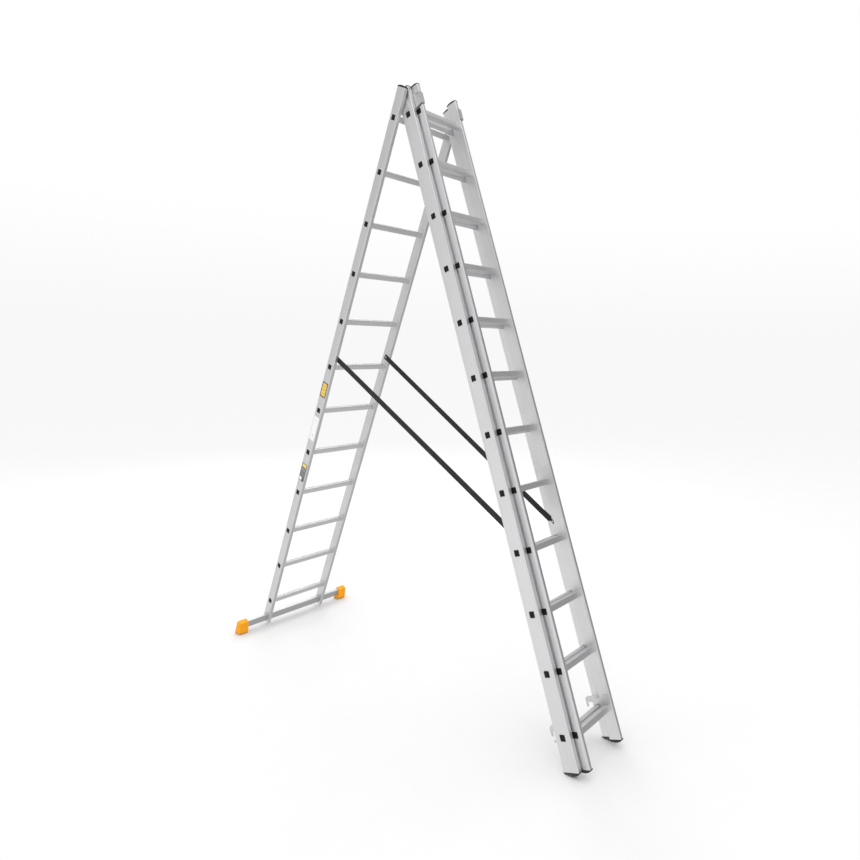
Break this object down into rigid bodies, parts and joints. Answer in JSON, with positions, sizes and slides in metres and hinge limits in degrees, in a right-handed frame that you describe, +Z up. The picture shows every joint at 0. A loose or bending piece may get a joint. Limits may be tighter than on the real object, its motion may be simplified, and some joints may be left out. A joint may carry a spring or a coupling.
{
  "type": "extension ladder",
  "caption": "Three-section aluminium combination ladder standing as a trestle, with a folding rear leg, a sliding top section, hooks with safety latches, straps and a stabiliser bar.",
  "frame": {"origin": "centre of the footprint, on the ground", "axes": "+X runs along the rungs, -Y is the climbing side of the front leg, +Z is up"},
  "size_m": [0.799, 2.4817, 3.1918],
  "materials": {
    "bar_aluminium": "mill-finish extruded aluminium",
    "cap_plastic": "black moulded plastic",
    "fastener_steel": "zinc-plated",
    "fitting_steel": "zinc-plated pressed sheet",
    "foot_rubber": "black moulded rubber",
    "label_notes": "printed film, white",
    "label_rating": "printed film, grey",
    "label_warning": "printed film, yellow with a dark border",
    "latch_steel": "zinc-plated sheet",
    "pad_plastic": "dark slide pad",
    "plug_plastic": "black moulded plastic",
    "rail_aluminium": "mill-finish extruded aluminium, fine lines along the rail",
    "rivet_aluminium": "bright rivet",
    "rung_aluminium": "ribbed extruded aluminium",
    "shoe_orange": "orange-yellow moulded plastic",
    "sole_rubber": "dark rubber",
    "strap_webbing": "black woven webbing"
  },
  "bodies": {
    "section_b": {"foot_b_left": "foot_rubber", "foot_b_right": "foot_rubber", "guide_bracket_left": "fitting_steel", "guide_bracket_right": "fitting_steel", "guide_pads": "pad_plastic", "guide_rivets": "rivet_aluminium", "hinge_plates_b": "fitting_steel", "hinge_rivets_b": "rivet_aluminium", "hook_b_left": "fitting_steel", "hook_b_right": "fitting_steel", "hook_rivets_b": "rivet_aluminium", "latch_pins_b": "fastener_steel", "latch_springs_b": "fastener_steel", "pivot_pins": "fastener_steel", "pivot_washers": "fastener_steel", "rail_b_left": "rail_aluminium", "rail_b_right": "rail_aluminium", "rung_plugs_b": "plug_plastic", "rungs_b": "rung_aluminium", "strap_left": "strap_webbing", "strap_right": "strap_webbing", "strap_rivets_b": "rivet_aluminium", "top_caps_b": "cap_plastic"},
    "section_a": {"hinge_plates_a": "fitting_steel", "hinge_rivets_a": "rivet_aluminium", "label_notes": "label_notes", "label_rating": "label_rating", "label_warning": "label_warning", "rail_a_left": "rail_aluminium", "rail_a_right": "rail_aluminium", "rung_plugs_a": "plug_plastic", "rungs_a": "rung_aluminium", "stabiliser_bar": "bar_aluminium", "stabiliser_bolts": "fastener_steel", "stabiliser_inserts": "fastener_steel", "stabiliser_shoe_left": "shoe_orange", "stabiliser_shoe_right": "shoe_orange", "stabiliser_sole_left": "sole_rubber", "stabiliser_sole_right": "sole_rubber", "strap_rivets_a": "rivet_aluminium", "top_caps_a": "cap_plastic"},
    "section_c": {"foot_c_left": "foot_rubber", "foot_c_right": "foot_rubber", "hook_c_left": "fitting_steel", "hook_c_right": "fitting_steel", "hook_rivets_c": "rivet_aluminium", "latch_pins_c": "fastener_steel", "latch_springs_c": "fastener_steel", "rail_c_left": "rail_aluminium", "rail_c_right": "rail_aluminium", "rung_plugs_c": "plug_plastic", "rungs_c": "rung_aluminium", "top_caps_c": "cap_plastic"},
    "latch_b_left": {"latch_b_left": "latch_steel"},
    "latch_b_right": {"latch_b_right": "latch_steel"},
    "latch_c_left": {"latch_c_left": "latch_steel"},
    "latch_c_right": {"latch_c_right": "latch_steel"}
  },
  "joints": [
    {"name": "fold", "type": "hinge", "parent": "section_b", "child": "section_a", "pos_m": [0, 0.00569, 3.04878], "axis": [-1, 0, 0], "range_deg": [0, 40.9], "deforming": ["strap_left", "strap_right"]},
    {"name": "extension", "type": "slide", "parent": "section_b", "child": "section_c", "axis": [0, 0.3469, 0.9379], "range_m": [0, 2.221]},
    {"name": "latch_b_left_swing", "type": "hinge", "parent": "section_b", "child": "latch_b_left", "pos_m": [-0.1515, -1.07854, 0.14007], "axis": [-1, 0, 0], "range_deg": [0, 48], "stiffness_Nm_per_rad": 0.05, "springref_deg": -28.65},
    {"name": "latch_b_right_swing", "type": "hinge", "parent": "section_b", "child": "latch_b_right", "pos_m": [0.1515, -1.07854, 0.14007], "axis": [-1, 0, 0], "range_deg": [0, 48], "stiffness_Nm_per_rad": 0.05, "springref_deg": -28.65},
    {"name": "latch_c_left_swing", "type": "hinge", "parent": "section_c", "child": "latch_c_left", "pos_m": [-0.1255, -1.13293, 0.16019], "axis": [-1, 0, 0], "range_deg": [0, 48], "stiffness_Nm_per_rad": 0.05, "springref_deg": -28.65},
    {"name": "latch_c_right_swing", "type": "hinge", "parent": "section_c", "child": "latch_c_right", "pos_m": [0.1255, -1.13293, 0.16019], "axis": [-1, 0, 0], "range_deg": [0, 48], "stiffness_Nm_per_rad": 0.05, "springref_deg": -28.65}
  ]
}
